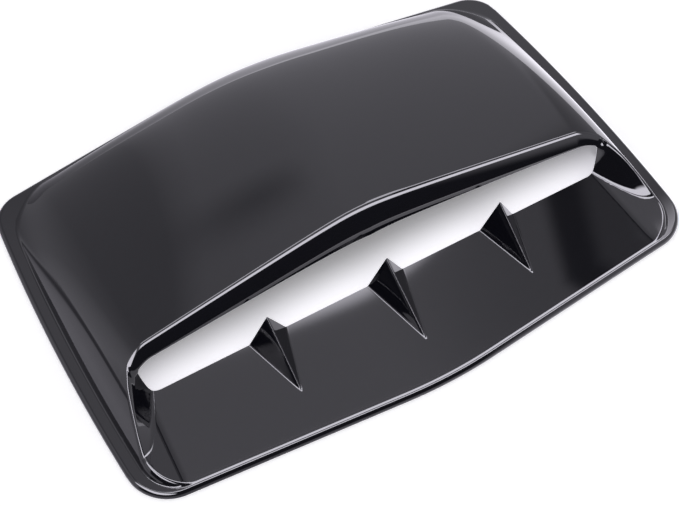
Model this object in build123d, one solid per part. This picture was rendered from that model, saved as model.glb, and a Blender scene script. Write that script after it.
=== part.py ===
# Car bonnet vent: one black moulding with a crowned hood, an open mouth and a ramp with three fins.
# Millimetres. X runs across the car, -Y is the ramp and front rim, +Z is up.
# The origin lies on the flange's underside, midway between the outline's front and rear.
import os
from math import cos, hypot, pi, radians, sin, sqrt, tan

from build123d import *

# Overall outline
WIDTH = 440.0            # over the widest point of the side flanges
SIDE_WIDEST_Y = -43.0    # where the sides are furthest apart
SIDE_RADIUS = 1520.0     # slight bow of the sides
FRONT_APEX_Y = -150.1    # where the two straight front edges would meet
FRONT_SLOPE = 0.0915     # each front edge falls back this much per mm
REAR_APEX_Y = 161.9
REAR_SLOPE = 0.142
EDGE_BEND_R = 370.0      # soft bend in the middle of the front and rear edges
FRONT_CORNER_R = 31.0
REAR_CORNER_R = 25.0

# Flange
FLANGE_T = 4.0
FLANGE_ROUND = 3.2
FLANGE_SIDE_W = 10.5
FLANGE_REAR_W = 3.8
RIM_W = 3.8              # front rim, from the outline to the foot of the ramp

# Hood
WALL = 3.0
CREST_Z = 51.0           # highest point, in the middle of the lip
CREST_Y = -24.0
CREST_SWEEP = 0.10       # the crest runs forward this much per mm towards the sides
ROOF_FALL = 0.080        # and falls this much
ROOF_BLEND = 22.0        # size of the soft roof ridge in the middle
SHOULDER_IN = 49.0       # where the hood starts to turn down, in from the widest side
SHOULDER_R = 40.0
SHOULDER_END_IN = 23.0
CREST_TURN_IN = 50.0     # the crest swings forward from here to the sides
REAR_TURN_IN = 55.0      # and the hood's rear end swings forward from here
REAR_FULLNESS = 0.95     # 0 gives a wedge-like rear, 1 one as steep as an ellipse
NOSE_R_MID = 17.5        # rounding of the lip in the middle
NOSE_R_FALL = 0.034      # it gets smaller by this per mm towards the sides
NOSE_TURN = 80.0         # degrees the lip turns down before its trimmed edge
NOSE_TURN_FALL = 0.10    # and this much less per mm towards the sides
SIDE_LEAN = 30.0         # degrees the side faces lean inward
HOOD_REAR_R = 40.0       # corner radii of the raised body at the flange
BODY_FRONT_R = 25.0

# Mouth, ramp and its side walls
SLOT_Y = -62.0           # rear edge of the ramp
SLOT_Z = 10.5
SLOT_END_IN = 35.5       # end of the slot, in from the widest side
SLOT_CORNER_R = 12.5
FLARE_IN = 40.0          # low facet beside the ramp, point on it
FLARE_Y = -66.0
FLARE_Z = 10.2
FLARE_RISE_X = 0.170     # its rise per mm outward
FLARE_RISE_Y = 0.114     # and per mm rearward
SIDE_WALL_Y = -63.0      # steep side wall of the mouth, section where its sizes are given
SIDE_WALL_FRONT_Y = -104.0
WALL_FOOT_IN = 40.5
WALL_FOOT_Z = 10.5
WALL_FOOT_OUT = 0.484    # the foot runs outward this much per mm forward
WALL_FOOT_FALL = 0.045
WALL_TOP_IN = 26.0
WALL_TOP_Z = 30.4
WALL_TOP_OUT = 0.32
WALL_TOP_BOW = 0.0015
WALL_TOP_FALL = 0.53
RIDGE_ROUND = 4.5        # depth over which the ridge between wall and side face is rounded
CORNER_BLEND = 1.6       # rounding of the mouth's inner corners, per mm below the crest
CORNER_BLEND_MAX = 12.0
RIDGE_REAR_Y = -38.0     # the ridges run on inside the hood to here

# Fins
FIN_PITCH = 92.7
FIN_HALF = 14.0          # half the width at the slot
FIN_TOP_Z = 35.7
FIN_TIP_Z = 8.1
FIN_TIP_Y = -105.6
MID_FIN_TIP_Y = -112.6
FIN_WALL = 2.6
FIN_ROUND = 1.0

BIG = 600.0
HALF = WIDTH / 2
HIDDEN = 0.05            # a blend stays this much below the surface that it runs into
FRONT_MID_Y = FRONT_APEX_Y + EDGE_BEND_R * (hypot(1, FRONT_SLOPE) - 1)
REAR_MID_Y = REAR_APEX_Y - EDGE_BEND_R * (hypot(1, REAR_SLOPE) - 1)


# Outline of straight and softly bent edges
def side_x(y):
    """Half width of the outline at y."""
    return HALF - SIDE_RADIUS + sqrt(SIDE_RADIUS ** 2 - (y - SIDE_WIDEST_Y) ** 2)


def front_y(x, inset=0.0):
    """Front edge of the outline, moved rearward by the inset."""
    lean = hypot(1, FRONT_SLOPE)
    radius = EDGE_BEND_R - inset
    bend = radius * FRONT_SLOPE / lean
    if abs(x) > bend:
        return FRONT_APEX_Y + inset * lean + FRONT_SLOPE * abs(x)
    return FRONT_APEX_Y + inset * lean + radius * lean - sqrt(radius ** 2 - x ** 2)


def rear_y(x, inset=0.0):
    """Rear edge of the outline, moved forward by the inset."""
    lean = hypot(1, REAR_SLOPE)
    radius = EDGE_BEND_R - inset
    bend = radius * REAR_SLOPE / lean
    if abs(x) > bend:
        return REAR_APEX_Y - inset * lean - REAR_SLOPE * abs(x)
    return REAR_APEX_Y - inset * lean - radius * lean + sqrt(radius ** 2 - x ** 2)


def edge_lines(edge_y, slope, inset, half):
    """Left line, bend and right line of a front or rear edge."""
    bend = (EDGE_BEND_R - inset) * slope / hypot(1, slope)

    def at(x):
        return (x, edge_y(x, inset))

    left = Line(at(-half), at(-bend))
    middle = ThreePointArc(at(-bend), at(0), at(bend))
    right = Line(at(bend), at(half))
    return [left, middle, right]


def outline_face(side, front, rear, front_r, rear_r, z=0.0):
    """Outline moved inward by the three insets, as a flat face at height z."""
    def half_at(edge_y, inset):
        x = HALF
        for _ in range(30):
            x = side_x(edge_y(x, inset)) - side
        return x

    xf = half_at(front_y, front)
    xr = half_at(rear_y, rear)
    yf = front_y(xf, front)
    yr = rear_y(xr, rear)
    widest = HALF - side
    sides = [
        ThreePointArc((xf, yf), (widest, SIDE_WIDEST_Y), (xr, yr)),
        ThreePointArc((-xf, yf), (-widest, SIDE_WIDEST_Y), (-xr, yr)),
    ]
    edges = edge_lines(front_y, FRONT_SLOPE, front, xf) + edge_lines(rear_y, REAR_SLOPE, rear, xr)
    flat = make_face(edges + sides)
    flat = fillet([v for v in flat.vertices() if v.Y < -80 and abs(v.X) > 0.9 * xf], front_r)
    flat = fillet([v for v in flat.vertices() if v.Y > 80 and abs(v.X) > 0.9 * xr and v.Y < yr + 1], rear_r)
    return Pos(0, 0, z) * flat


def body_prism(extra_side, extra_end):
    """Solid with the leaning side faces, moved inward by the extra amounts."""
    lean = tan(radians(SIDE_LEAN))
    low, high = -6.0, 70.0
    side = FLANGE_SIDE_W + extra_side
    front = RIM_W - 1 + extra_end
    rear = FLANGE_REAR_W - 2 + extra_end
    bottom = outline_face(side + (low - FLANGE_T) * lean, front, rear, BODY_FRONT_R, HOOD_REAR_R, low)
    top = outline_face(side + (high - FLANGE_T) * lean, front, rear, 6.0, 12.0, high)
    return loft([bottom, top], ruled=True)


# Hood surface
def roof(x):
    """Distance from the middle, rounded off at the middle."""
    return sqrt(x * x + ROOF_BLEND ** 2) - ROOF_BLEND


def crest_z(x):
    a = abs(x)
    start, end = HALF - SHOULDER_IN, HALF - SHOULDER_END_IN
    b = max(0.0, min(a, end) - start)
    root = sqrt(SHOULDER_R ** 2 - b * b)
    drop = SHOULDER_R - root + b / root * max(0.0, a - end)
    return CREST_Z - ROOF_FALL * roof(x) - drop


def crest_y(x):
    return CREST_Y - CREST_SWEEP * roof(x) - max(0.0, abs(x) - HALF + CREST_TURN_IN) ** 2 / 60


def hood_rear(x):
    return rear_y(x, FLANGE_REAR_W) - max(0.0, abs(x) - HALF + REAR_TURN_IN) ** 2 / 55


def nose_r(x):
    return NOSE_R_MID - NOSE_R_FALL * abs(x)


def nose_turn(x):
    return radians(NOSE_TURN - NOSE_TURN_FALL * abs(x))


def hood_point(x, row):
    """Point of the hood: rows below 1 rise from the rear flange to the crest, later rows turn down the lip."""
    zc, yc, yr = crest_z(x), crest_y(x), hood_rear(x)
    if row <= 1:
        k = REAR_FULLNESS * max(0.0, 1 - (x / (HALF - 15)) ** 6)
        turn = abs(row) * pi / 2
        run = (1 - k) * abs(row) + k * (1 - cos(turn))
        sign = 1 if row >= 0 else -1
        return Vector(x, yr - (yr - yc) * run * sign, FLANGE_T + (zc - FLANGE_T) * sin(turn) * sign)
    turn = (row - 1) * nose_turn(x)
    return Vector(x, yc - nose_r(x) * sin(turn), zc - nose_r(x) * (1 - cos(turn)))


# Sides of the mouth, as heights over the plan
def soft_min(a, b, size):
    """Smaller of two heights, rounded where they are nearly the same."""
    h = max(size - abs(a - b), 0.0) / size
    return min(a, b) - h * h * size / 4


def roof_z(x, y):
    """Level forward of the crest, and falling below the hood behind it."""
    behind = max(0.0, y - crest_y(x))
    return crest_z(x) - HIDDEN - behind ** 2 / 60


def nose_z(x, y):
    """The lip, running on down past its trimmed edge."""
    radius, turn = nose_r(x), nose_turn(x)
    ahead = max(0.0, crest_y(x) - y)
    end = radius * sin(turn)
    on = min(ahead, end)
    past = ahead - on
    return roof_z(x, y) - radius + sqrt(radius ** 2 - on ** 2) - tan(turn) * past - past ** 2 / 5


def wall_z(x, y):
    """The steep side wall, straight from its foot to its top edge."""
    u = SIDE_WALL_Y - y
    foot_x = HALF - WALL_FOOT_IN + WALL_FOOT_OUT * u
    foot_z = WALL_FOOT_Z - WALL_FOOT_FALL * u
    top_x = HALF - WALL_TOP_IN + WALL_TOP_OUT * u - WALL_TOP_BOW * max(0.0, u) ** 2
    top_z = WALL_TOP_Z - WALL_TOP_FALL * u
    slope = max(0.0, (top_z - foot_z) / (top_x - foot_x))
    d = abs(x) - foot_x
    return foot_z + (slope * d if d > 0 else max(slope, 0.35) * d)


def corner_z(x, y):
    """Ridge at the side of the mouth: steep wall, rounded top, side face, and the lip that turns into it."""
    side_face = FLANGE_T + (side_x(y) - FLANGE_SIDE_W - abs(x)) / tan(radians(SIDE_LEAN)) + 2 * HIDDEN
    ridge = soft_min(roof_z(x, y), wall_z(x, y), RIDGE_ROUND)
    nose = nose_z(x, y)
    depth = max(0.0, crest_z(x) - max(nose, ridge))
    joined = -soft_min(-nose, -ridge, HIDDEN + min(CORNER_BLEND * depth, CORNER_BLEND_MAX))
    return soft_min(joined, side_face, RIDGE_ROUND)


def over_plan(height):
    """Point function of a height over the plan."""
    def point(x, y):
        return Vector(x, y, height(x, y))

    return point


def inward(point, x, row, amount):
    """Point of a surface moved inward along its normal."""
    e = 0.01
    side = -1 if row > 0.99 else 1
    du = point(x + e, row) - point(x - e, row)
    dv = (point(x, row + side * e) - point(x, row)) * side
    normal = dv.cross(du)
    if normal.Z < 0:
        normal = normal * -1
    return point(x, row) - normal.normalized() * amount


def surface(point, columns, rows, offset=0.0):
    """Smooth face through a grid of surface points."""
    grid = [[inward(point, x, r, offset) if offset else point(x, r) for r in rows] for x in columns]
    return Face.make_surface_from_array_of_points(grid, tol=0.05, min_deg=3, max_deg=3)


def steps(start, end, count):
    return [start + (end - start) * i / (count - 1) for i in range(count)]


def under(face):
    """Everything below a face."""
    return Solid.extrude(face, Vector(0, 0, -120))


def block(x0, x1, y0, y1, z0, z1):
    return Pos((x0 + x1) / 2, (y0 + y1) / 2, (z0 + z1) / 2) * Box(x1 - x0, y1 - y0, z1 - z0)


def under_plane(side, point, rise_x, rise_y, offset=0.0):
    """Large block below a sloping plane, moved down along its normal by the offset."""
    normal = Vector(-rise_x * side, -rise_y, 1).normalized()
    origin = Vector(point[0] * side, point[1], point[2]) - normal * offset
    return Plane(origin=origin, z_dir=normal) * Pos(0, 0, -BIG / 2) * Box(BIG, BIG, BIG)


def hood(offset):
    """Solid below the hood surface and inside the leaning sides."""
    lean_w = offset / cos(radians(SIDE_LEAN))
    rows = steps(-0.12, 0.925, 15) + steps(1, 2, 9)
    columns = steps(8 - HALF, HALF - 8, 54)
    return body_prism(lean_w, offset) & under(surface(hood_point, columns, rows, offset))


def ridge(side, offset):
    """Side of the mouth: the ridge with its steep wall, and the low facet before it."""
    lean_w = offset / cos(radians(SIDE_LEAN))
    near, far = HALF - 70, HALF + 10
    shell = body_prism(lean_w, offset) & block(near, far, -160, RIDGE_REAR_Y + offset, -6, 60)
    if offset:
        roof_top = surface(over_plan(roof_z), steps(near, HALF - 8, 16), steps(-150, -20, 15), offset)
        wall = surface(over_plan(wall_z), steps(near, HALF - 8, 16), steps(SIDE_WALL_FRONT_Y, -20, 19), offset)
        steep = shell & under(roof_top) & under(wall)
    else:
        columns = steps(HALF - 50, HALF - 8, 40)
        top = surface(over_plan(corner_z), columns, steps(SIDE_WALL_FRONT_Y, RIDGE_REAR_Y + 4, 40))
        steep = shell & under(top)
    corner = (HALF - FLARE_IN, FLARE_Y, FLARE_Z)
    flare = shell & under_plane(1, corner, FLARE_RISE_X, FLARE_RISE_Y, offset)
    flare = flare & block(near, far, -160, SLOT_Y + 8, -6, 60)
    both = steep + flare
    return both if side > 0 else mirror(both, Plane.YZ)


def ramp(offset, front_inset, half):
    """Ruled slab from the bowed front rim up to the straight edge of the slot."""
    slope = (SLOT_Z - FLANGE_T) / (SLOT_Y - front_y(HALF / 2, RIM_W))
    end = HALF - 10
    foot = [Vector(x, front_y(x, RIM_W) - 2, FLANGE_T - 2 * slope - offset) for x in steps(-end, end, 15)]
    rear = SLOT_Y if offset == 0 else SLOT_Y + 5
    edge = [Vector(x, rear, SLOT_Z - offset + slope * (rear - SLOT_Y)) for x in (-end, end)]
    face = Face.make_surface_from_curves(Edge.make_spline(foot), Edge.make_line(*edge))
    slab = under(face) & block(-half, half, -160, rear, -6, 40)
    if front_inset:
        return slab & extrude(outline_face(14, front_inset, 20, 14, 20, -6), 40)
    return slab & body_prism(0, 0)


def slot():
    """The open slot, from below the part up to the lip's trimmed edge."""
    def edge(x, y):
        p = hood_point(x, 2)
        return Vector(x, y, p.Z)

    top = Face.make_surface_from_array_of_points(
        [[edge(x, y) for y in steps(-75, -23, 5)] for x in steps(25 - HALF, HALF - 25, 40)],
        tol=0.05, min_deg=3, max_deg=3)
    half = HALF - SLOT_END_IN
    plan = block(-half, half, SLOT_Y, -34, -10, 60)
    plan = fillet([e for e in plan.edges().filter_by(Axis.Z) if e.center().Y < -60], SLOT_CORNER_R)
    return plan & Solid.extrude(top, Vector(0, 0, -60))


def fin(x, tip_y, drop=0.0):
    """Folded fin: a triangle carried forward and down along the fin's ridge."""
    wide = FIN_HALF * (FIN_TOP_Z - drop + 12) / (FIN_TOP_Z - SLOT_Z)
    start = SLOT_Y if drop == 0 else SLOT_Y + 4
    along = Vector(0, tip_y - SLOT_Y, FIN_TIP_Z - FIN_TOP_Z)
    step = along * (-(start - SLOT_Y) / (SLOT_Y - tip_y))
    top = FIN_TOP_Z - drop + step.Z
    base = top - (FIN_TOP_Z - drop + 12)
    triangle = make_face(Polyline((x, start, top), (x + wide, start, base), (x - wide, start, base), close=True))
    if drop == 0:
        triangle = fillet(triangle.vertices().sort_by(Axis.Z)[-1], FIN_ROUND)
    return Solid.extrude(triangle.face(), along * 1.6)


def build():
    """The whole moulding, hollow from below, with its slot and fins."""
    plate = extrude(outline_face(0, 0, 0, FRONT_CORNER_R, REAR_CORNER_R), FLANGE_T)
    plate = fillet(plate.faces().sort_by(Axis.Z)[-1].edges(), FLANGE_ROUND)
    outer = [hood(0), ramp(0, 0, HALF - 16), ridge(1, 0), ridge(-1, 0)]
    beside = HALF - SLOT_END_IN - 1.5
    far = HALF + 10
    corners = block(-far, -beside, -160, -42, -20, 80) + block(beside, far, -160, -42, -20, 80)
    inner = [hood(WALL) - corners, ramp(WALL, 16, beside), ridge(1, WALL), ridge(-1, WALL)]
    fins = [(0, MID_FIN_TIP_Y), (-FIN_PITCH, FIN_TIP_Y), (FIN_PITCH, FIN_TIP_Y)]
    solid = plate
    for piece in outer:
        solid += piece
    for x, tip in fins:
        solid += fin(x, tip) & block(x - 40, x + 40, -140, SLOT_Y, 3, 40)
    for piece in inner:
        solid -= piece
    for x, tip in fins:
        reach = hypot(FIN_TOP_Z - SLOT_Z, FIN_HALF)
        rise = (FIN_TOP_Z - FIN_TIP_Z) / (SLOT_Y - tip)
        drop = FIN_WALL * hypot(reach, rise * FIN_HALF) / FIN_HALF
        solid -= fin(x, tip, drop) & block(x - 40, x + 40, -140, SLOT_Y + 4, -6, 40)
    solid -= slot()
    solid &= block(-BIG / 2, BIG / 2, -BIG / 2, BIG / 2, 0, 100)
    return Pos(0, -(FRONT_MID_Y + REAR_MID_Y) / 2, 0) * solid


if __name__ == "__main__":
    os.makedirs("parts", exist_ok=True)
    vent = build()
    export_step(vent, "parts/vent_moulding.step")
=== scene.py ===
"""Looks of the bonnet vent: the moulding's skin as one smooth mesh, its gloss, the studio and the camera."""
import bpy
import numpy as np
from mathutils import Matrix, Vector


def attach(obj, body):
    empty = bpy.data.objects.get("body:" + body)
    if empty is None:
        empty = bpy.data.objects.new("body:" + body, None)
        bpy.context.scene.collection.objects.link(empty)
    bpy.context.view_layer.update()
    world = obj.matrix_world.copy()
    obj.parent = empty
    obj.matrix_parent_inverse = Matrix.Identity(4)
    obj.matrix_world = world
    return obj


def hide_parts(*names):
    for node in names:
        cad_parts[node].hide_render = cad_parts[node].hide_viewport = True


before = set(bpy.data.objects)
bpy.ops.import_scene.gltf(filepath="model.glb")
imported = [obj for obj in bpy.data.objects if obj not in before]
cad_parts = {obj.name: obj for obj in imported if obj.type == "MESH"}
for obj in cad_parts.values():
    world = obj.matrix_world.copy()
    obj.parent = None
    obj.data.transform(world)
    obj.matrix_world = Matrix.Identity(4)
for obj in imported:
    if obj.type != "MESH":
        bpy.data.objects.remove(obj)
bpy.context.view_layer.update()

# Sizes in millimetres. X runs across the car, -Y is the front rim, +Z is up. They are the part's own, apart from
# the side flange, the side lean and the flares, which follow the photo a little closer. The outline's middle is
# moved to the origin when the mesh is made.

# Overall outline
WIDTH = 440.0            # over the widest point of the side flanges
SIDE_WIDEST_Y = -43.0    # where the sides are furthest apart
SIDE_RADIUS = 1520.0     # slight bow of the sides
FRONT_APEX_Y = -150.1    # where the two straight front edges would meet
FRONT_SLOPE = 0.0915     # each front edge falls back this much per mm
REAR_APEX_Y = 161.9
REAR_SLOPE = 0.142
EDGE_BEND_R = 370.0      # soft bend in the middle of the front and rear edges
FRONT_CORNER_R = 31.0
REAR_CORNER_R = 25.0

# Flange
FLANGE_T = 4.0
FLANGE_ROUND = 3.2
FLANGE_SIDE_W = 9.8
FLANGE_REAR_W = 3.8
FLANGE_BLEND = 1.0       # softness of the crease where the hood meets the flange
RIM_W = 3.8              # front rim, from the outline to the foot of the ramp

# Hood
WALL = 3.0
CREST_Z = 51.0           # highest point, in the middle of the lip
CREST_Y = -24.0
CREST_SWEEP = 0.10       # the crest runs forward this much per mm towards the sides
ROOF_FALL = 0.080        # and falls this much
ROOF_BLEND = 22.0        # size of the soft roof ridge in the middle
SHOULDER_IN = 49.0       # where the hood starts to turn down, in from the widest side
SHOULDER_R = 40.0
SHOULDER_END_IN = 23.0
CREST_TURN_IN = 50.0     # the crest swings forward from here to the sides
CREST_TURN = 60.0        # the larger, the gentler it swings
REAR_TURN_IN = 55.0      # and the hood's rear end swings forward from here
REAR_TURN = 55.0
REAR_FULLNESS = 0.95     # 0 gives a wedge-like rear, 1 one as steep as an ellipse
FULLNESS_END_IN = 15.0   # the fullness has faded out this far in from the widest side
FULLNESS_POWER = 6       # the higher, the later it fades
NOSE_R_MID = 17.5        # rounding of the lip in the middle
NOSE_R_FALL = 0.034      # it gets smaller by this per mm towards the sides
NOSE_TURN = 80.0         # degrees the lip turns down before its trimmed edge
NOSE_TURN_FALL = 0.10    # and this much less per mm towards the sides
NOSE_DIVE = 5.0          # how fast the lip's surface dives past its edge
SIDE_LEAN = 28.0         # degrees the side faces lean inward
HOOD_REAR_R = 40.0       # corner radii of the raised body at the flange
BODY_FRONT_R = 25.0
BODY_REAR_OUT = 5.0      # the raised body's corners end this far behind the rear edge
BODY_FRONT_IN = RIM_W - 1

# Mouth, ramp and its side walls
SLOT_Y = -62.0           # rear edge of the ramp
SLOT_Z = 10.5
SLOT_END_IN = 35.5       # end of the slot, in from the widest side
SLOT_CORNER_R = 12.5
FLARE_IN = 40.0          # low facet beside the ramp, point on it
FLARE_Y = -66.0
FLARE_Z = 9.75
FLARE_RISE_X = 0.215     # its rise per mm outward
FLARE_RISE_Y = 0.114     # and per mm rearward
SCOOP_BLEND = 1.2        # softness of the creases between ramp, flares and fins
SCOOP_BACK = 14.0        # the ramp's surface is dropped this far behind the slot's front edge
SIDE_WALL_Y = -63.0      # steep side wall of the mouth, section where its sizes are given
WALL_FOOT_IN = 40.5
WALL_FOOT_Z = 10.5
WALL_FOOT_OUT = 0.484    # the foot runs outward this much per mm forward
WALL_FOOT_FALL = 0.045
WALL_TOP_IN = 26.0
WALL_TOP_Z = 30.4
WALL_TOP_OUT = 0.32
WALL_TOP_BOW = 0.0015
WALL_TOP_FALL = 0.53
WALL_MIN_W = 3.0         # least width of the wall over the plan
WALL_MIN_SLOPE = 0.35    # least slope at which its surface runs on inside its foot
WALL_END = 41.0          # the wall sinks away from this far ahead of its section
WALL_END_FALL = 0.3
WALL_BLEND = 1.6         # softness of the crease at the wall's foot, per unit of its slope
WALL_BLEND_MIN = 0.6
WALL_BLEND_MAX = 3.0
RIDGE_IN = 60.0          # the ridges lie outside this distance from the widest side
RIDGE_ROUND = 4.5        # depth over which the ridge between wall and side face is rounded
CORNER_BLEND = 1.6       # rounding of the mouth's inner corners, per mm below the crest
CORNER_BLEND_MAX = 12.0
HIDDEN = 0.05            # least rounding there

# Fins
FIN_PITCH = 92.7
FIN_HALF = 14.0          # half the width at the slot
FIN_TOP_Z = 35.7
FIN_TIP_Z = 8.1
FIN_TIP_Y = -105.6
MID_FIN_TIP_Y = -112.6
FIN_WALL = 2.6
FIN_ROUND = 1.0

HALF = WIDTH / 2
SLOT_HALF = HALF - SLOT_END_IN
FINS = ((-FIN_PITCH, FIN_TIP_Y), (0.0, MID_FIN_TIP_Y), (FIN_PITCH, FIN_TIP_Y))
FIN_STEEP = (FIN_TOP_Z - SLOT_Z) / FIN_HALF
FAR_BELOW = -50.0        # a height that no surface reaches


# Outline
def half_x(y):
    """Half width of the outline at y."""
    return HALF - SIDE_RADIUS + np.sqrt(SIDE_RADIUS ** 2 - (y - SIDE_WIDEST_Y) ** 2)


def edge_y(x, apex, slope, inset):
    """Front or rear edge of the outline: two straight lines with a soft bend, moved in by the inset."""
    sign = 1.0 if apex > 0 else -1.0
    lean = np.hypot(1, slope)
    radius = EDGE_BEND_R - inset
    bend = radius * slope / lean
    a = np.abs(x)
    top = abs(apex) - inset * lean
    straight = top - slope * a
    bent = top - radius * lean + np.sqrt(np.maximum(radius ** 2 - a ** 2, 0))
    return sign * np.where(a > bend, straight, bent)


def front_y(x, inset=0.0):
    return edge_y(x, FRONT_APEX_Y, FRONT_SLOPE, inset)


def rear_y(x, inset=0.0):
    return edge_y(x, REAR_APEX_Y, REAR_SLOPE, inset)


MID_Y = (float(front_y(np.array(0.0))) + float(rear_y(np.array(0.0)))) / 2


# Heights of the outer surface over the plan
def soft_min(a, b, size):
    """Smaller of two heights, rounded where they are nearly the same."""
    h = np.maximum(size - np.abs(a - b), 0.0) / size
    return np.minimum(a, b) - h * h * size / 4


def soft_max(a, b, size):
    return -soft_min(-a, -b, size)


def roof(x):
    """Distance from the middle, with a soft start."""
    return np.sqrt(x * x + ROOF_BLEND ** 2) - ROOF_BLEND


def crest_z(x):
    """Height of the hood's crest, which turns down over the shoulders."""
    a = np.abs(x)
    start, end = HALF - SHOULDER_IN, HALF - SHOULDER_END_IN
    b = np.clip(a, start, end) - start
    root = np.sqrt(SHOULDER_R ** 2 - b * b)
    drop = SHOULDER_R - root + b / root * np.maximum(0, a - end)
    return CREST_Z - ROOF_FALL * roof(x) - drop


def crest_y(x):
    turn = np.maximum(0, np.abs(x) - HALF + CREST_TURN_IN) ** 2 / CREST_TURN
    return CREST_Y - CREST_SWEEP * roof(x) - turn


def hood_rear(x):
    """Where the hood starts to rise from the rear flange."""
    return rear_y(x, FLANGE_REAR_W) - np.maximum(0, np.abs(x) - HALF + REAR_TURN_IN) ** 2 / REAR_TURN


def nose_r(x):
    return NOSE_R_MID - NOSE_R_FALL * np.abs(x)


def nose_turn(x):
    return np.radians(NOSE_TURN - NOSE_TURN_FALL * np.abs(x))


def lip_y(x):
    """Trimmed edge of the lip."""
    return crest_y(x) - nose_r(x) * np.sin(nose_turn(x))


def hood_z(x, y):
    """The hood behind its crest, rising in a rounded wedge from the rear flange."""
    zc, yc, yr = crest_z(x), crest_y(x), hood_rear(x)
    k = REAR_FULLNESS * np.maximum(0, 1 - (x / (HALF - FULLNESS_END_IN)) ** FULLNESS_POWER)
    run = (yr - y) / (yr - yc)
    sign = np.where(run < 0, -1.0, 1.0)
    r = np.clip(np.abs(run), 0, 1)
    # the wedge's angle t at the run r, by Newton's method
    t = np.arccos(np.clip(1 - r, -1, 1)) * k + (1 - k) * r * np.pi / 2
    for _ in range(12):
        f = (1 - k) * t * 2 / np.pi + k * (1 - np.cos(t)) - r
        d = (1 - k) * 2 / np.pi + k * np.sin(t)
        t = np.clip(t - f / np.maximum(d, 1e-3), 0, np.pi / 2)
    return FLANGE_T + (zc - FLANGE_T) * np.sin(t) * sign


def nose_z(x, y):
    """The lip, running on down past its trimmed edge."""
    radius, turn = nose_r(x), nose_turn(x)
    ahead = np.maximum(0, crest_y(x) - y)
    on = np.minimum(ahead, radius * np.sin(turn))
    past = ahead - on
    dive = np.tan(turn) * past + past ** 2 / NOSE_DIVE
    return crest_z(x) - radius + np.sqrt(radius ** 2 - on ** 2) - dive


def wall_lines(y):
    """The mouth's side wall at y: x and z of its foot, its slope, and x of its top edge."""
    u = SIDE_WALL_Y - y
    foot_x = HALF - WALL_FOOT_IN + WALL_FOOT_OUT * u
    foot_z = WALL_FOOT_Z - WALL_FOOT_FALL * u
    top_x = HALF - WALL_TOP_IN + WALL_TOP_OUT * u - WALL_TOP_BOW * np.maximum(0, u) ** 2
    top_z = WALL_TOP_Z - WALL_TOP_FALL * u
    wide = np.maximum(top_x - foot_x, WALL_MIN_W)
    return foot_x, foot_z, np.maximum(0, (top_z - foot_z) / wide), top_x


def wall_z(x, y):
    """The steep side wall of the mouth, straight from its foot to its top edge."""
    foot_x, foot_z, slope, _ = wall_lines(y)
    d = np.abs(x) - foot_x
    ended = WALL_END_FALL * np.maximum(0, SIDE_WALL_Y - y - WALL_END)
    return foot_z + np.where(d > 0, slope, np.maximum(slope, WALL_MIN_SLOPE)) * d - ended


def corner_distance(d1, d2, r):
    """Distance inside two edges that meet in a round corner."""
    return r - np.hypot(np.maximum(r - d1, 0), np.maximum(r - d2, 0)) + np.maximum(np.minimum(d1, d2) - r, 0)


def side_z(x, y):
    """Leaning side face, turning round the corners of the raised body."""
    beside = half_x(y) - FLANGE_SIDE_W - np.abs(x)
    behind = (rear_y(x) + BODY_REAR_OUT - y) / np.hypot(1, REAR_SLOPE)
    ahead = y - front_y(x, BODY_FRONT_IN)
    d = np.minimum(corner_distance(beside, behind, HOOD_REAR_R), corner_distance(beside, ahead, BODY_FRONT_R))
    return FLANGE_T + d / np.tan(np.radians(SIDE_LEAN))


def ramp_z(x, y):
    rim = front_y(x, RIM_W)
    return FLANGE_T + (SLOT_Z - FLANGE_T) * (y - rim) / (SLOT_Y - rim)


def flare_z(x, y):
    """Low facet beside the ramp."""
    return FLARE_Z + FLARE_RISE_X * (np.abs(x) - HALF + FLARE_IN) + FLARE_RISE_Y * (y - FLARE_Y)


def fin_ridge(y, tip):
    """Height of a fin's ridge, rising from its tip to the slot."""
    return FIN_TIP_Z + (FIN_TOP_Z - FIN_TIP_Z) * (y - tip) / (SLOT_Y - tip)


def fins_z(x, y):
    """The three folded fins, each a tent with a softly rounded ridge."""
    out = np.full(np.shape(x), FAR_BELOW)
    rounding = FIN_ROUND / FIN_STEEP
    for fx, tip in FINS:
        tent = fin_ridge(y, tip) - FIN_STEEP * np.hypot(x - fx, rounding)
        out = np.maximum(out, tent)
    return out


def mouth_z(x, y):
    """Lip and ridges ahead of the crest."""
    nose = nose_z(x, y)
    ridge = soft_min(crest_z(x), wall_z(x, y), RIDGE_ROUND)
    ridge = np.where(np.abs(x) > HALF - RIDGE_IN, ridge, FAR_BELOW)
    depth = np.maximum(0, crest_z(x) - np.maximum(nose, ridge))
    return soft_max(nose, ridge, HIDDEN + np.minimum(CORNER_BLEND * depth, CORNER_BLEND_MAX))


def height(x, y):
    """Outer surface of the whole moulding over the plan."""
    top = np.where(y > crest_y(x), hood_z(x, y), mouth_z(x, y))
    scoop = soft_max(ramp_z(x, y), flare_z(x, y), SCOOP_BLEND)
    scoop = soft_max(scoop, fins_z(x, y), SCOOP_BLEND)
    scoop = np.where(y < SLOT_Y + SCOOP_BACK, scoop, FAR_BELOW)
    slope = wall_lines(y)[2]
    top = soft_max(top, scoop, np.clip(WALL_BLEND * slope, WALL_BLEND_MIN, WALL_BLEND_MAX))
    top = soft_min(top, side_z(x, y), RIDGE_ROUND)
    return soft_max(top, np.full(np.shape(x), FLANGE_T), FLANGE_BLEND)


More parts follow.
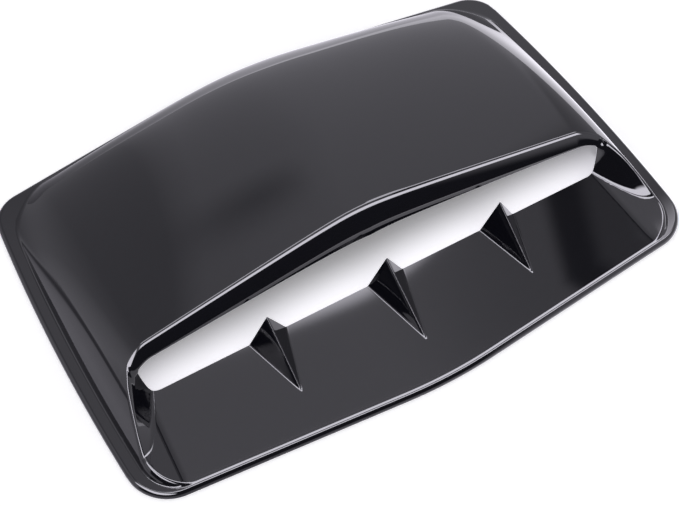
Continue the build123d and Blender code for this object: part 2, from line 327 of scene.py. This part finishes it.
# Grid of the skin. Its columns are named by u, which is x where the sides are widest, and its outer edge is the
# outline moved in by INSET, where the flange starts to round down.
INSET = FLANGE_ROUND
TOP_U = HALF - INSET
SLOT_U = 183.6           # the slot ends between this column and the next
FOOT_U = 178.0           # this column follows the foot of the mouth's side wall
RIDGE_U = 192.5          # this one follows the wall's top edge
STRAIGHT_U = 120.0       # columns inside this keep their x, those outside follow the bowed sides
BEND_X = 150.0           # columns inside this bend to the fins, those outside to the side walls
ENDS_U = 172.0           # closer columns from here to the slot's end
REAR_ENDS_U = 140.0      # on the hood they start here
CREASE_U = (202.0, 210.5)    # closest columns, over the crease between side face and flange
FIN_MARGIN = 1.5         # closer columns this far to both sides of a fin's foot
FIN_MIDDLE = 2.0         # and this far to both sides of its ridge
RIM_MARGIN = 0.4         # rows of the rim end this far behind the ramp's foot
HOOD_ROWS = 0.9          # 0 spaces the hood's rows evenly, 1 puts them closer towards its rear end
WALL_BEND_FRONT = -106.0    # the wall's lines are kept as they are at this y for the rows ahead of it
WALL_BEND_START = -140.0    # rows ahead of this y aren't bent to the wall, and those from WALL_BEND_FULL are
WALL_BEND_FULL = -108.0
WALL_BEND_FADE = 0.06    # share of the ramp before the slot over which the bending fades out again
WALL_FOOT_SHIFT = 3.0    # furthest that the flare's height moves the wall's foot
SCOOP_SLOPE = 0.2        # about the flare's own slope there
SLOPE_GAP_MIN = 0.4      # least difference between the two slopes that is reckoned with
COLUMN_GAP = 5.0         # the bent columns keep this far from the ends of their range


def corner(sign):
    """Centre and radius of the outline's corner arc, moved in, and the slope of the edge beside it."""
    r = (FRONT_CORNER_R if sign < 0 else REAR_CORNER_R) - INSET
    slope = FRONT_SLOPE if sign < 0 else REAR_SLOPE
    edge_of = front_y if sign < 0 else rear_y
    yc = sign * HALF / 2
    for _ in range(40):
        xc = half_x(yc) - INSET - r
        yc = float(edge_of(np.array(xc), INSET + r))
    return xc, yc, r, slope


CORNERS = {sign: corner(sign) for sign in (-1, 1)}


def bound(x, sign):
    """The grid's front (-1) or rear (1) edge."""
    xc, yc, r, slope = CORNERS[sign]
    a = np.abs(x)
    straight = front_y(x, INSET) if sign < 0 else rear_y(x, INSET)
    meet = xc + r * slope / np.hypot(1, slope)
    arc = yc + sign * np.sqrt(np.maximum(r * r - (a - xc) ** 2, 0))
    return np.where(a > meet, arc, straight)


def slot_front(x):
    """The slot's front edge, with its rounded corners."""
    b = np.clip(np.abs(x) - (SLOT_HALF - SLOT_CORNER_R), 0, SLOT_CORNER_R)
    return SLOT_Y + SLOT_CORNER_R - np.sqrt(SLOT_CORNER_R ** 2 - b ** 2)


def seam_y(x):
    """Where the front and the rear grid meet: the slot's front edge, or the lip's edge beside the slot."""
    lip = lip_y(x)
    return np.where(np.abs(x) < SLOT_U - 1e-6, np.minimum(slot_front(x), lip), lip)


def spread(*stretches):
    """Joins stretches given as (start, end, steps) into one rising list."""
    out = []
    for start, end, steps in stretches:
        out += list(np.linspace(start, end, steps + 1)[:-1])
    return out + [stretches[-1][1]]


def mirrored(values):
    return [-v for v in values[::-1]]


def remap(x, marks, targets):
    """Moves x so that each mark comes to lie on its target, and all between them follow."""
    out = x
    for i in range(len(marks) - 1):
        f = (x - marks[i]) / (marks[i + 1] - marks[i])
        out = np.where((f >= 0) & (f <= 1), targets[i] + (targets[i + 1] - targets[i]) * f, out)
    return out


def bend_fins(x, y):
    """Moves columns so that some of them follow the fins' base lines."""
    marks, targets = [-BEND_X], [-BEND_X]
    for fx, tip in FINS:
        w = np.clip((fin_ridge(y, tip) - ramp_z(np.full_like(y, fx), y)) / FIN_STEEP, 0, FIN_HALF)
        for side in (-1, 1):
            marks.append(fx + side * FIN_HALF)
            targets.append(fx + side * w)
    return remap(x, marks + [BEND_X], targets + [BEND_X])


def bend_walls(x, y, t):
    """Moves columns so that two of them follow the side walls' foot and top edge; t is the row's place."""
    a = np.abs(x)
    edge = half_x(y) - INSET
    ahead = np.maximum(y, WALL_BEND_FRONT)
    foot, foot_z, slope, top = wall_lines(ahead)
    scoop = np.maximum(ramp_z(foot, ahead), flare_z(foot, ahead))
    shift = (scoop - foot_z) / np.maximum(slope - SCOOP_SLOPE, SLOPE_GAP_MIN)
    foot = np.maximum(foot + np.clip(shift, -WALL_FOOT_SHIFT, WALL_FOOT_SHIFT), BEND_X + COLUMN_GAP)
    top = np.minimum(top, edge - COLUMN_GAP)
    bent = remap(a, (BEND_X, FOOT_U, RIDGE_U, edge), (BEND_X, foot, top, edge))
    near = np.clip((y - WALL_BEND_START) / (WALL_BEND_FULL - WALL_BEND_START), 0, 1)
    weight = near * near * (3 - 2 * near) * np.clip((1 - t) / WALL_BEND_FADE, 0, 1)
    return np.sign(x) * (a + (bent - a) * weight)


def fin_columns(fx):
    """Columns over one fin, closer at both edges of its foot and at its ridge."""
    left, right = fx - FIN_HALF, fx + FIN_HALF
    return spread((left - FIN_MARGIN, left + FIN_MARGIN, 4), (left + FIN_MARGIN, fx - FIN_MIDDLE, 5),
                  (fx - FIN_MIDDLE, fx + FIN_MIDDLE, 8), (fx + FIN_MIDDLE, right - FIN_MARGIN, 5),
                  (right - FIN_MARGIN, right + FIN_MARGIN, 4))


SIDE_COLUMNS = spread((SLOT_U, RIDGE_U, 14), (RIDGE_U, CREASE_U[0], 16), (*CREASE_U, 14), (CREASE_U[1], TOP_U, 8))


def with_sides(middle):
    return np.array(mirrored(SIDE_COLUMNS)[:-1] + middle + SIDE_COLUMNS[1:])


def front_columns():
    foot = FIN_HALF + FIN_MARGIN
    left = spread((-ENDS_U, -BEND_X, 18), (-BEND_X, -FIN_PITCH - foot, 12))[:-1] + fin_columns(-FIN_PITCH)
    left += spread((-FIN_PITCH + foot, -foot, 14))[1:-1]
    slot_end = [FOOT_U + (SLOT_U - FOOT_U) * np.sin(t) for t in np.linspace(0, np.pi / 2, 11)]
    ends = spread((ENDS_U, FOOT_U, 8))[:-1] + slot_end
    return with_sides(mirrored(ends)[:-1] + left + fin_columns(0.0) + mirrored(left) + ends[1:])


def rear_columns():
    ends = spread((REAR_ENDS_U, ENDS_U, 12), (ENDS_U, SLOT_U, 8))
    return with_sides(mirrored(ends)[:-1] + spread((-REAR_ENDS_U, REAR_ENDS_U, 90)) + ends[1:])


def place(u, row_y):
    """Solves x and y of the columns u on one row, whose y depends on x."""
    share = np.clip((np.abs(u) - STRAIGHT_U) / (TOP_U - STRAIGHT_U), 0, 1)
    x = u
    for _ in range(4):
        y = row_y(x)
        x = u * (1 + ((half_x(y) - INSET) / TOP_U - 1) * share)
    return x, y


def front_grid(u):
    """From the front rim over the ramp to the slot's front edge."""
    def row_y(x):
        edge = bound(x, -1)
        foot = edge + (RIM_W + RIM_MARGIN - INSET)
        return edge + (foot - edge) * t if on_rim else foot + (seam_y(x) - foot) * t

    rim = [(True, t) for t in (0.0, 0.5, 1.0)]
    ramp = spread((0, 0.06, 4), (0.06, 0.38, 18), (0.38, 0.5, 8), (0.5, 0.94, 26), (0.94, 1.0, 4))[1:]
    rows = []
    for on_rim, t in rim + [(False, t) for t in ramp]:
        x, y = place(u, row_y)
        x = bend_walls(bend_fins(x, y), y, 0.0 if on_rim else t)
        rows.append((x, row_y(x)))
    return rows


def rear_grid(u):
    """From the lip's edge over the hood to the rear flange."""
    def row_y(x):
        edge = bound(x, 1)
        crease = np.minimum(hood_rear(x), edge - RIM_MARGIN)
        crest = crest_y(x)
        if kind == "nose":
            return crest - nose_r(x) * np.sin(nose_turn(x) * (1 - t))
        if kind == "hood":
            run = (1 - HOOD_ROWS) * (1 - t) + HOOD_ROWS * (1 - np.cos((1 - t) * np.pi / 2))
            return crease - (crease - crest) * run
        return crease + (edge - crease) * t

    rows = []
    for kind, steps in (("nose", np.linspace(0, 1, 13)),
                        ("hood", spread((0, 0.12, 5), (0.12, 0.8, 22), (0.8, 1.0, 22))[1:]),
                        ("flange", np.linspace(0, 1, 9)[1:])):
        for t in steps:
            rows.append(place(u, row_y))
    return rows


# Mesh
NORMAL_STEP = 0.35       # the slope is measured this far to both sides
FIN_FLOOR = 0.3          # a fin's thinner wall starts this far above the ramp
FIN_BACK = 0.5           # and ends this far behind the slot's front edge
HOLLOW_GAP = 0.02        # the two halves of a fin's hollow stay this far off its middle
UNDER_START_Z = 3.15     # near the edge the underside below this height is drawn down
UNDER_END_Z = 1.05       # and what lay at this height comes to lie at z = 0
UNDER_DRAW = 1.5         # by this factor, which leaves the start as it is
WELD = 1e-7              # points closer than this, in metres, become one


def normals(x, y):
    """Unit normals of the outer surface."""
    e = NORMAL_STEP
    zx = (height(x + e, y) - height(x - e, y)) / (2 * e)
    zy = (height(x, y + e) - height(x, y - e)) / (2 * e)
    n = np.stack([-zx, -zy, np.ones_like(zx)], -1)
    return n / np.linalg.norm(n, axis=-1, keepdims=True)


def inner_point(x, y, z, n):
    """Point of the underside below a point of the outer surface."""
    in_fin = (fins_z(x, y) > ramp_z(x, y) + FIN_FLOOR) & (y <= SLOT_Y + FIN_BACK)
    p = np.stack([x, y, z], -1) - n * np.where(in_fin, FIN_WALL, WALL)[..., None]
    for fx, _ in FINS:
        side = np.sign(x - fx)
        crossed = (np.abs(x - fx) < FIN_HALF + 1) & (np.sign(p[..., 0] - fx) != side)
        p[..., 0] = np.where(crossed, fx + side * HOLLOW_GAP, p[..., 0])
    low = np.clip((p[..., 2] - UNDER_END_Z) * UNDER_DRAW, 0, None)
    p[..., 2] = np.where(p[..., 2] < UNDER_START_Z, np.minimum(low, np.maximum(p[..., 2], 0)), p[..., 2])
    return p


def quads(a, b, c, d, flip):
    return np.stack([a, d, c, b] if flip else [a, b, c, d], -1).reshape(-1, 4)


def assemble():
    """Vertices, faces and normals of the whole moulding."""
    front_u, rear_u = front_columns(), rear_columns()
    front, rear = np.array(front_grid(front_u)), np.array(rear_grid(rear_u))
    # both grids share their points beside the slot
    sides = len(SIDE_COLUMNS)
    for part in (slice(None, sides), slice(-sides, None)):
        rear[0, :, part] = front[-1, :, part]
    verts, norms, faces, ids = [], [], [], []
    count = 0

    def add(points, directions):
        nonlocal count
        verts.append(points.reshape(-1, 3))
        norms.append(directions.reshape(-1, 3))
        count += len(verts[-1])
        return np.arange(count - len(verts[-1]), count)

    # outer surface and underside of both grids
    for grid in (front, rear):
        x, y = grid[:, 0], grid[:, 1]
        z, n = height(x, y), normals(x, y)
        top = add(np.stack([x, y, z], -1), n).reshape(x.shape)
        under = add(inner_point(x, y, z, n), -n).reshape(x.shape)
        ids.append((top, under))
        for g, flip in ((top, False), (under, True)):
            faces.append(quads(g[:-1, :-1], g[:-1, 1:], g[1:, 1:], g[1:, :-1], flip))
    (front_top, front_under), (rear_top, rear_under) = ids
    # edges of the wall along the slot
    for top, under, u, flip in ((front_top[-1], front_under[-1], front_u, False),
                                (rear_top[0], rear_under[0], rear_u, True)):
        along = np.abs(u) < SLOT_U + 1e-6
        a, b = top[along], under[along]
        faces.append(quads(a[:-1], a[1:], b[1:], b[:-1], flip))

    # the flange's rounded edge, all round
    def loop(f, r):
        return np.concatenate([f[0], f[1:, -1], r[1:, -1], r[-1][::-1][1:], r[:-1, 0][::-1], f[1:-1, 0][::-1]])

    rim, under_rim = loop(front_top, rear_top), loop(front_under, rear_under)
    start = np.concatenate(verts)[rim][:, :2]
    # columns that have met ahead of a fin's tip count once
    apart = np.linalg.norm(start - np.roll(start, 1, 0), axis=1) > 1e-6
    rim, under_rim, start = rim[apart], under_rim[apart], start[apart]
    tangent = np.roll(start, -1, 0) - np.roll(start, 1, 0)
    tangent /= np.linalg.norm(tangent, axis=1, keepdims=True)
    out = np.stack([tangent[:, 1], -tangent[:, 0]], -1)
    ring = [rim]
    for angle in np.linspace(0, np.pi / 2, 9)[1:]:
        z = np.full(len(rim), FLANGE_T - INSET + INSET * np.cos(angle))
        ring.append(add(np.column_stack([start + out * INSET * np.sin(angle), z]),
                        np.column_stack([out * np.sin(angle), np.full(len(rim), np.cos(angle))])))
    flat = np.zeros(len(rim))
    ring.append(add(np.column_stack([start + out * INSET, flat]), np.column_stack([out, flat])))
    ring.append(under_rim)
    for upper, lower in zip(ring[:-1], ring[1:]):
        faces.append(quads(upper, np.roll(upper, -1), np.roll(lower, -1), lower, True))
    return np.concatenate(verts), np.concatenate(norms), np.concatenate(faces)


def make_vent():
    """The skin as one mesh in metres, with the points that coincide merged."""
    verts, norms, quad_list = assemble()
    verts[:, 1] -= MID_Y
    verts /= 1000
    key = np.round(verts / WELD).astype(np.int64)
    _, first, inverse = np.unique(key, axis=0, return_index=True, return_inverse=True)
    faces = []
    for quad in inverse.reshape(-1)[quad_list].tolist():
        face = [v for i, v in enumerate(quad) if v != quad[i - 1]]
        if len(face) > 2 and len(set(face)) == len(face):
            faces.append(face)
    mesh = bpy.data.meshes.new("vent_skin")
    mesh.from_pydata(verts[first].tolist(), [], faces)
    mesh.update()
    mesh.shade_smooth()
    mesh.normals_split_custom_set_from_vertices(norms[first].tolist())
    obj = bpy.data.objects.new("vent_skin", mesh)
    bpy.context.scene.collection.objects.link(obj)
    return obj


class Nodes:
    """Short way to wire the nodes of one material or world."""

    def __init__(self, tree):
        self.tree = tree

    def new(self, kind):
        return self.tree.nodes.new(kind)

    def put(self, value, socket):
        if isinstance(value, bpy.types.NodeSocket):
            self.tree.links.new(value, socket)
        else:
            socket.default_value = value

    def axes(self, space):
        """X, Y and Z of the texture coordinates of that name."""
        node = self.new("ShaderNodeSeparateXYZ")
        self.put(self.new("ShaderNodeTexCoord").outputs[space], node.inputs[0])
        return node.outputs

    def math(self, operation, a, b):
        node = self.new("ShaderNodeMath")
        node.operation = operation
        self.put(a, node.inputs[0])
        self.put(b, node.inputs[1])
        return node.outputs[0]

    def times(self, a, b):
        return self.math("MULTIPLY", a, b)

    def rise(self, value, start, end):
        """0 at start, 1 at end, soft between."""
        node = self.new("ShaderNodeMapRange")
        node.interpolation_type = "SMOOTHSTEP"
        self.put(value, node.inputs["Value"])
        self.put(start, node.inputs["From Min"])
        self.put(end, node.inputs["From Max"])
        return node.outputs["Result"]

    def band(self, value, start, end, soft):
        """1 from start to end, 0 elsewhere, with soft edges."""
        up = self.rise(value, start - soft, start + soft)
        down = self.rise(value, end - soft, end + soft)
        return self.math("SUBTRACT", up, down)

    def blend(self, mask, a, b):
        """a where the mask is 0, b where it is 1."""
        node = self.new("ShaderNodeMix")
        node.data_type = "FLOAT"
        self.put(mask, node.inputs[0])
        self.put(a, node.inputs[2])
        self.put(b, node.inputs[3])
        return node.outputs[0]

    def tint(self, mask, a, b):
        """The same for colours."""
        node = self.new("ShaderNodeMix")
        node.data_type = "RGBA"
        self.put(mask, node.inputs[0])
        self.put(a, node.inputs[6])
        self.put(b, node.inputs[7])
        return node.outputs[2]


# Gloss black plastic
BLACK = ((0.0030, 0.0030, 0.0050, 1), (0.0050, 0.0050, 0.0075, 1))
GRAIN_SCALE = 60
GRAIN_DETAIL = 3
GLOSS_ROUGHNESS = 0.035
GLOSS_IOR = 1.5


def gloss_black():
    """Black plastic with a clean gloss, its depth of black very slightly uneven."""
    mat = bpy.data.materials.new("gloss_black")
    mat.use_nodes = True
    n = Nodes(mat.node_tree)
    bsdf = mat.node_tree.nodes["Principled BSDF"]
    noise = n.new("ShaderNodeTexNoise")
    noise.inputs["Scale"].default_value = GRAIN_SCALE
    noise.inputs["Detail"].default_value = GRAIN_DETAIL
    ramp = n.new("ShaderNodeValToRGB")
    for stop, colour in zip(ramp.color_ramp.elements, BLACK):
        stop.color = colour
    n.put(noise.outputs["Fac"], ramp.inputs["Fac"])
    n.put(ramp.outputs["Color"], bsdf.inputs["Base Color"])
    bsdf.inputs["Roughness"].default_value = GLOSS_ROUGHNESS
    bsdf.inputs["IOR"].default_value = GLOSS_IOR
    return mat


vent = make_vent()
vent.data.materials.append(gloss_black())
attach(vent, "root")
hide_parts("vent_moulding")

# Studio floor, in metres
FLOOR_HALF = 3.0
FLOOR_WHITE = (0.92, 0.92, 0.92, 1)
FLOOR_MIRRORED = (0.86, 0.83, 0.94, 1)    # the floor as the gloss shows it
# Painted shade on the floor that only the gloss shows
FLOOR_MIRRORED_SHADED = (0.34, 0.33, 0.37, 1)         # the same far out on the left, and mostly so behind on the left
REAR_LEFT_SHARE = 0.25                    # share of the lighter colour there
FLOOR_GLOW = (1.0, 0.98, 1.06, 1)
GLOW_BEHIND, GLOW_BESIDE, GLOW_LEFT = 0.9, 1.0, 0.25
LIFT = 0.25                               # brings the floor to white for the camera
# Painted light and shade on the floor seen through the slot: more lift at the slot's front edge, fading to
# painted shade below the hood
SLOT_PAINTED_LIGHT_TO_SHADE = (0.68, 0.10)                  # from the slot's front edge to below the hood
FLOOR_ROUGHNESS = 0.9


def floor_white():
    """Matt floor, with its own amounts of light for the camera and for the gloss."""
    mat = bpy.data.materials.new("floor_white")
    mat.use_nodes = True
    n = Nodes(mat.node_tree)
    bsdf = mat.node_tree.nodes["Principled BSDF"]
    path = n.new("ShaderNodeLightPath").outputs
    x, y, _ = n.axes("Object")
    # base colour, which keeps the object's shadow; for the gloss the floor is painted darker far out on the left
    # and behind on the left, a painted shade
    rear_left = n.times(n.rise(y, 0.10, 0.18), n.rise(x, 0.10, -0.12))
    near = n.times(n.rise(x, -0.46, -0.36), n.blend(rear_left, 1.0, REAR_LEFT_SHARE))
    mirrored_floor = n.tint(near, FLOOR_MIRRORED_SHADED, FLOOR_MIRRORED)
    n.put(n.tint(path["Is Glossy Ray"], FLOOR_WHITE, mirrored_floor), bsdf.inputs["Base Color"])
    # glow that only the gloss shows: behind and beside the vent on the right, and a little beside it on the left
    behind = n.times(n.rise(x, -0.25, 0.15), GLOW_BEHIND)
    beside = n.times(n.rise(x, 0.19, 0.24), GLOW_BESIDE)
    left = n.times(n.times(n.band(x, -0.40, -0.20, 0.04), n.rise(y, 0.16, 0.06)), GLOW_LEFT)
    gloss_glow = n.math("ADD", n.math("ADD", behind, beside), left)
    # lift that only the camera sees: over all of the floor, and through the air slot a painted light at the
    # slot's front edge that fades to painted shade below the hood
    under_slot = n.times(n.band(x, -0.195, 0.195, 0.002), n.band(y, -0.075, 0.0, 0.002))
    camera_lift = n.blend(under_slot, LIFT, n.blend(n.rise(y, -0.066, -0.026), *SLOT_PAINTED_LIGHT_TO_SHADE))
    glow = n.blend(path["Is Glossy Ray"], 0.0, gloss_glow)
    n.put(n.blend(path["Is Camera Ray"], glow, camera_lift), bsdf.inputs["Emission Strength"])
    bsdf.inputs["Emission Color"].default_value = FLOOR_GLOW
    bsdf.inputs["Roughness"].default_value = FLOOR_ROUGHNESS
    bsdf.inputs["Specular IOR Level"].default_value = 0.0
    return mat


floor_mesh = bpy.data.meshes.new("floor")
floor_corners = [(x * FLOOR_HALF, y * FLOOR_HALF, 0) for x, y in ((-1, -1), (1, -1), (1, 1), (-1, 1))]
floor_mesh.from_pydata(floor_corners, [], [(0, 1, 2, 3)])
floor = bpy.data.objects.new("floor", floor_mesh)
bpy.context.scene.collection.objects.link(floor)
floor.data.materials.append(floor_white())

# Surroundings as the gloss shows them: level of light by bearing, in degrees from +X towards +Y
BEARINGS = ((-180, 0.3), (-135, 0.15), (-60, 0.12), (-45, 1.0), (-25, 1.1), (0, 0.5), (15, 0.6), (36, 0.75),
            (40, 1.15), (60, 1.2), (72, 1.1), (82, 1.0), (84.5, 0.62), (100, 0.64), (118, 0.75), (128, 0.85),
            (138, 1.25), (146, 1.5), (155, 1.0), (180, 0.3))
LIGHT_MAX = 8.0
DUSK, SKIRTING = 0.45, 0.45
DUSK_SHARE = 0.8
FAR_BAR, NEAR_BAR, KEY = 9.0, 14.0, 14.0
PANEL = (1.3, 0.85, 0.12, 0.42, 1.05)    # the ceiling panel's levels from left to right
FRONT, FRONT_RIGHT = 0.06, 1.2
PLAIN_LIGHT = 0.9        # what lights the object
BACKGROUND = 1.0         # what the camera sees behind it
GLOSS_TINT = (1.0, 0.975, 1.08, 1)
WHITE = (1, 1, 1, 1)


def light_by_bearing(w, dx, dy):
    """The bearing in radians, and the level of light for it."""
    ramp = w.new("ShaderNodeValToRGB")
    stops = ramp.color_ramp.elements
    while len(stops) < len(BEARINGS):
        stops.new(0.5)
    for stop, (degrees, level) in zip(stops, BEARINGS):
        stop.position = (degrees + 180) / 360
        stop.color = (*[level / LIGHT_MAX] * 3, 1)
    bearing = w.math("ARCTAN2", dy, dx)
    w.put(w.math("ADD", w.times(bearing, 1 / (2 * np.pi)), 0.5), ramp.inputs["Fac"])
    return bearing, w.times(ramp.outputs["Color"], LIGHT_MAX)


def surroundings(w):
    """Light from each direction, built up from behind the vent to the photographer's side."""
    dx, dy, dz = w.axes("Generated")
    bearing, level = light_by_bearing(w, dx, dy)
    # darker patch behind the hood
    dusk = w.times(w.band(bearing, 1.27, 1.43, 0.10), w.band(dz, 0.735, 0.80, 0.045))
    level = w.blend(w.times(dusk, DUSK_SHARE), level, DUSK)
    # dark foot of the wall on the left
    skirting = w.times(w.rise(dx, -0.55, -0.68), w.rise(dz, 0.08, 0.02))
    level = w.blend(skirting, level, SKIRTING)
    # two light bars overhead, with the ceiling panel between them
    long = w.band(dx, -0.08, 0.62, 0.04)
    bulge = w.times(w.band(dx, 0.36, 0.455, 0.015), 0.06)
    far_bar = w.times(w.rise(w.math("SUBTRACT", dy, bulge), 0.375, 0.335), long)
    level = w.blend(far_bar, level, FAR_BAR)
    panel = PANEL[0]
    steps = ((0.28, 0.42), (0.425, 0.437), (0.448, 0.462), (0.478, 0.498))
    for (start, end), next_level in zip(steps, PANEL[1:]):
        panel = w.blend(w.rise(dx, start, end), panel, next_level)
    level = w.blend(w.rise(dy, 0.302, 0.290), level, panel)
    near_bar = w.times(w.rise(dy, 0.160, 0.125), long)
    level = w.blend(near_bar, level, NEAR_BAR)
    # dark side towards the photographer
    front = w.blend(w.rise(dx, 0.42, 0.52), FRONT, FRONT_RIGHT)
    level = w.blend(w.rise(dy, -0.03, -0.08), level, front)
    # key light at the left front
    key = w.times(w.band(dx, -0.66, -0.20, 0.03), w.band(dy, -0.66, 0.22, 0.04))
    return w.blend(w.times(key, w.rise(dz, 0.6, 0.7)), level, KEY)


world = bpy.data.worlds.new("studio")
bpy.context.scene.world = world
world.use_nodes = True
w = Nodes(world.node_tree)
background = world.node_tree.nodes["Background"]
path = w.new("ShaderNodeLightPath").outputs
strength = w.blend(path["Is Glossy Ray"], PLAIN_LIGHT, surroundings(w))
w.put(w.blend(path["Is Camera Ray"], strength, BACKGROUND), background.inputs["Strength"])
w.put(w.tint(path["Is Glossy Ray"], WHITE, GLOSS_TINT), background.inputs["Color"])

# Camera, fitted to the photo: place in millimetres and the directions of its axes
CAM_POS = (-323.59, -504.16, 862.39)
CAM_RIGHT = (0.8577206, -0.51362929, 0.02236792)
CAM_UP = (0.41758505, 0.7213933, 0.55246215)
CAM_AHEAD = (0.29989681, 0.46451766, -0.83323781)
CAM_SENSOR = 36.0
CAM_LENS = 77.92
cam_data = bpy.data.cameras.new("camera")
cam_data.sensor_width = CAM_SENSOR
cam_data.lens = CAM_LENS
cam = bpy.data.objects.new("camera", cam_data)
bpy.context.scene.collection.objects.link(cam)
turned = Matrix([(r, u, -a) for r, u, a in zip(CAM_RIGHT, CAM_UP, CAM_AHEAD)]).to_4x4()
cam.matrix_world = Matrix.Translation((Vector(CAM_POS) - Vector((0, MID_Y, 0))) / 1000) @ turned
bpy.context.scene.camera = cam
bpy.context.scene.view_settings.view_transform = "Standard"
